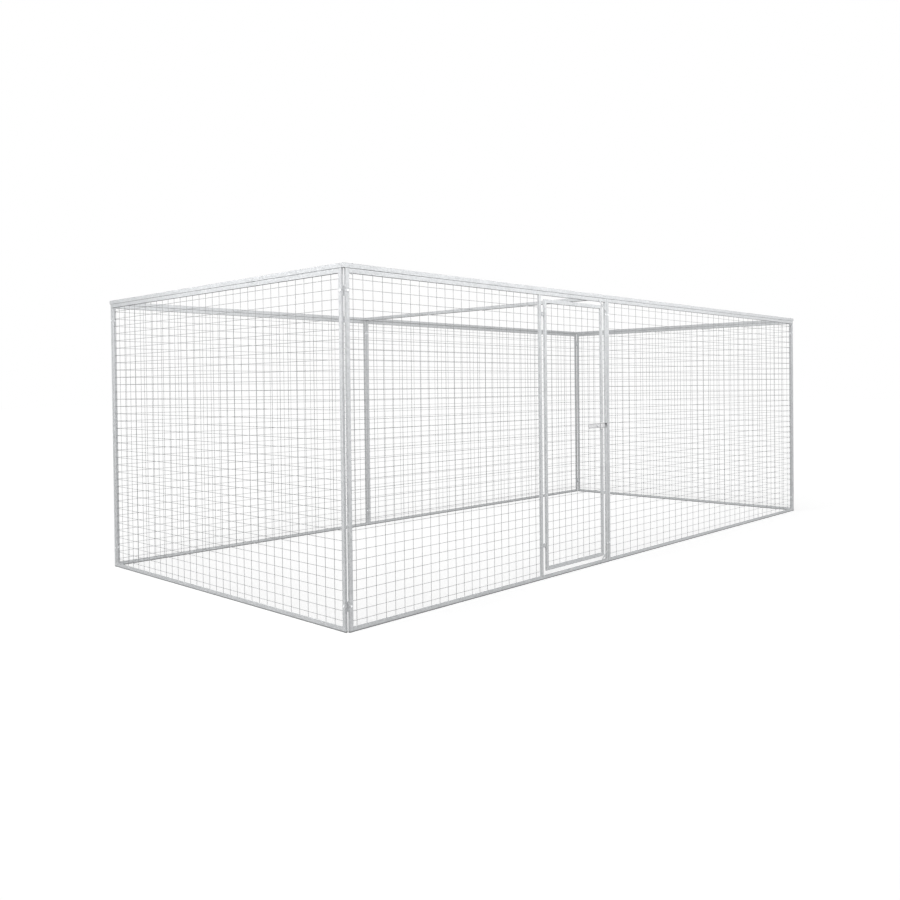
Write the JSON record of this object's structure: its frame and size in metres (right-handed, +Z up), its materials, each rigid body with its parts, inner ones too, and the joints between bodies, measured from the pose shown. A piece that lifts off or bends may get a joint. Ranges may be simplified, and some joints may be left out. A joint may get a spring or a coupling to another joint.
{
  "type": "cat enclosure",
  "caption": "Free-standing walk-in cage of welded tube panels with wire mesh sides, an open framed roof, and a mesh door with a sliding latch bar.",
  "frame": {"origin": "middle of the base, on the ground", "axes": "+X along the length to the right as seen from the door side, +Y from the door side to the rear, +Z up"},
  "size_m": [5.5066, 2.5066, 1.8286],
  "materials": {
    "tube_steel": "galvanised, satin, lightly spangled",
    "mesh_wire": "galvanised drawn wire",
    "bolt_steel": "bright zinc plate",
    "latch_steel": "zinc plated flat bar"
  },
  "bodies": {
    "cage": {"front_door_frame": "tube_steel", "front_left_inner_lower_bolt": "bolt_steel", "front_left_inner_upper_bolt": "bolt_steel", "front_left_lower_angle": "tube_steel", "front_left_net": "mesh_wire", "front_left_outer_lower_bolt": "bolt_steel", "front_left_outer_upper_bolt": "bolt_steel", "front_left_roof_bolt": "bolt_steel", "front_left_upper_angle": "tube_steel", "front_lower_strap": "tube_steel", "front_right_frame": "tube_steel", "front_right_inner_lower_bolt": "bolt_steel", "front_right_inner_upper_bolt": "bolt_steel", "front_right_lower_angle": "tube_steel", "front_right_net": "mesh_wire", "front_right_outer_lower_bolt": "bolt_steel", "front_right_outer_upper_bolt": "bolt_steel", "front_right_roof_bolt": "bolt_steel", "front_right_upper_angle": "tube_steel", "front_upper_strap": "tube_steel", "left_side_frame": "tube_steel", "left_side_front_lower_bolt": "bolt_steel", "left_side_front_upper_bolt": "bolt_steel", "left_side_net": "mesh_wire", "left_side_rear_lower_bolt": "bolt_steel", "left_side_rear_upper_bolt": "bolt_steel", "lower_hinge_pin": "bolt_steel", "rear_left_frame": "tube_steel", "rear_left_inner_lower_bolt": "bolt_steel", "rear_left_inner_upper_bolt": "bolt_steel", "rear_left_lower_angle": "tube_steel", "rear_left_net": "mesh_wire", "rear_left_outer_lower_bolt": "bolt_steel", "rear_left_outer_upper_bolt": "bolt_steel", "rear_left_roof_bolt": "bolt_steel", "rear_left_upper_angle": "tube_steel", "rear_lower_strap": "tube_steel", "rear_right_frame": "tube_steel", "rear_right_inner_lower_bolt": "bolt_steel", "rear_right_inner_upper_bolt": "bolt_steel", "rear_right_lower_angle": "tube_steel", "rear_right_net": "mesh_wire", "rear_right_outer_lower_bolt": "bolt_steel", "rear_right_outer_upper_bolt": "bolt_steel", "rear_right_roof_bolt": "bolt_steel", "rear_right_upper_angle": "tube_steel", "rear_upper_strap": "tube_steel", "right_side_frame": "tube_steel", "right_side_front_lower_bolt": "bolt_steel", "right_side_front_upper_bolt": "bolt_steel", "right_side_net": "mesh_wire", "right_side_rear_lower_bolt": "bolt_steel", "right_side_rear_upper_bolt": "bolt_steel", "roof_frame_left": "tube_steel", "roof_frame_right": "tube_steel", "upper_hinge_pin": "bolt_steel"},
    "door": {"door_leaf_frame": "tube_steel", "door_net": "mesh_wire", "latch_guide": "latch_steel"},
    "latch": {"latch_bar": "latch_steel"}
  },
  "joints": [
    {"name": "door_swing", "type": "hinge", "parent": "cage", "child": "door", "pos_m": [-1.15065, -1.244, 0.9], "axis": [0, 0, 1], "range_deg": [0, 110]},
    {"name": "latch_slide", "type": "slide", "parent": "door", "child": "latch", "axis": [1, 0, 0], "range_m": [-0.02, 0.02]}
  ]
}
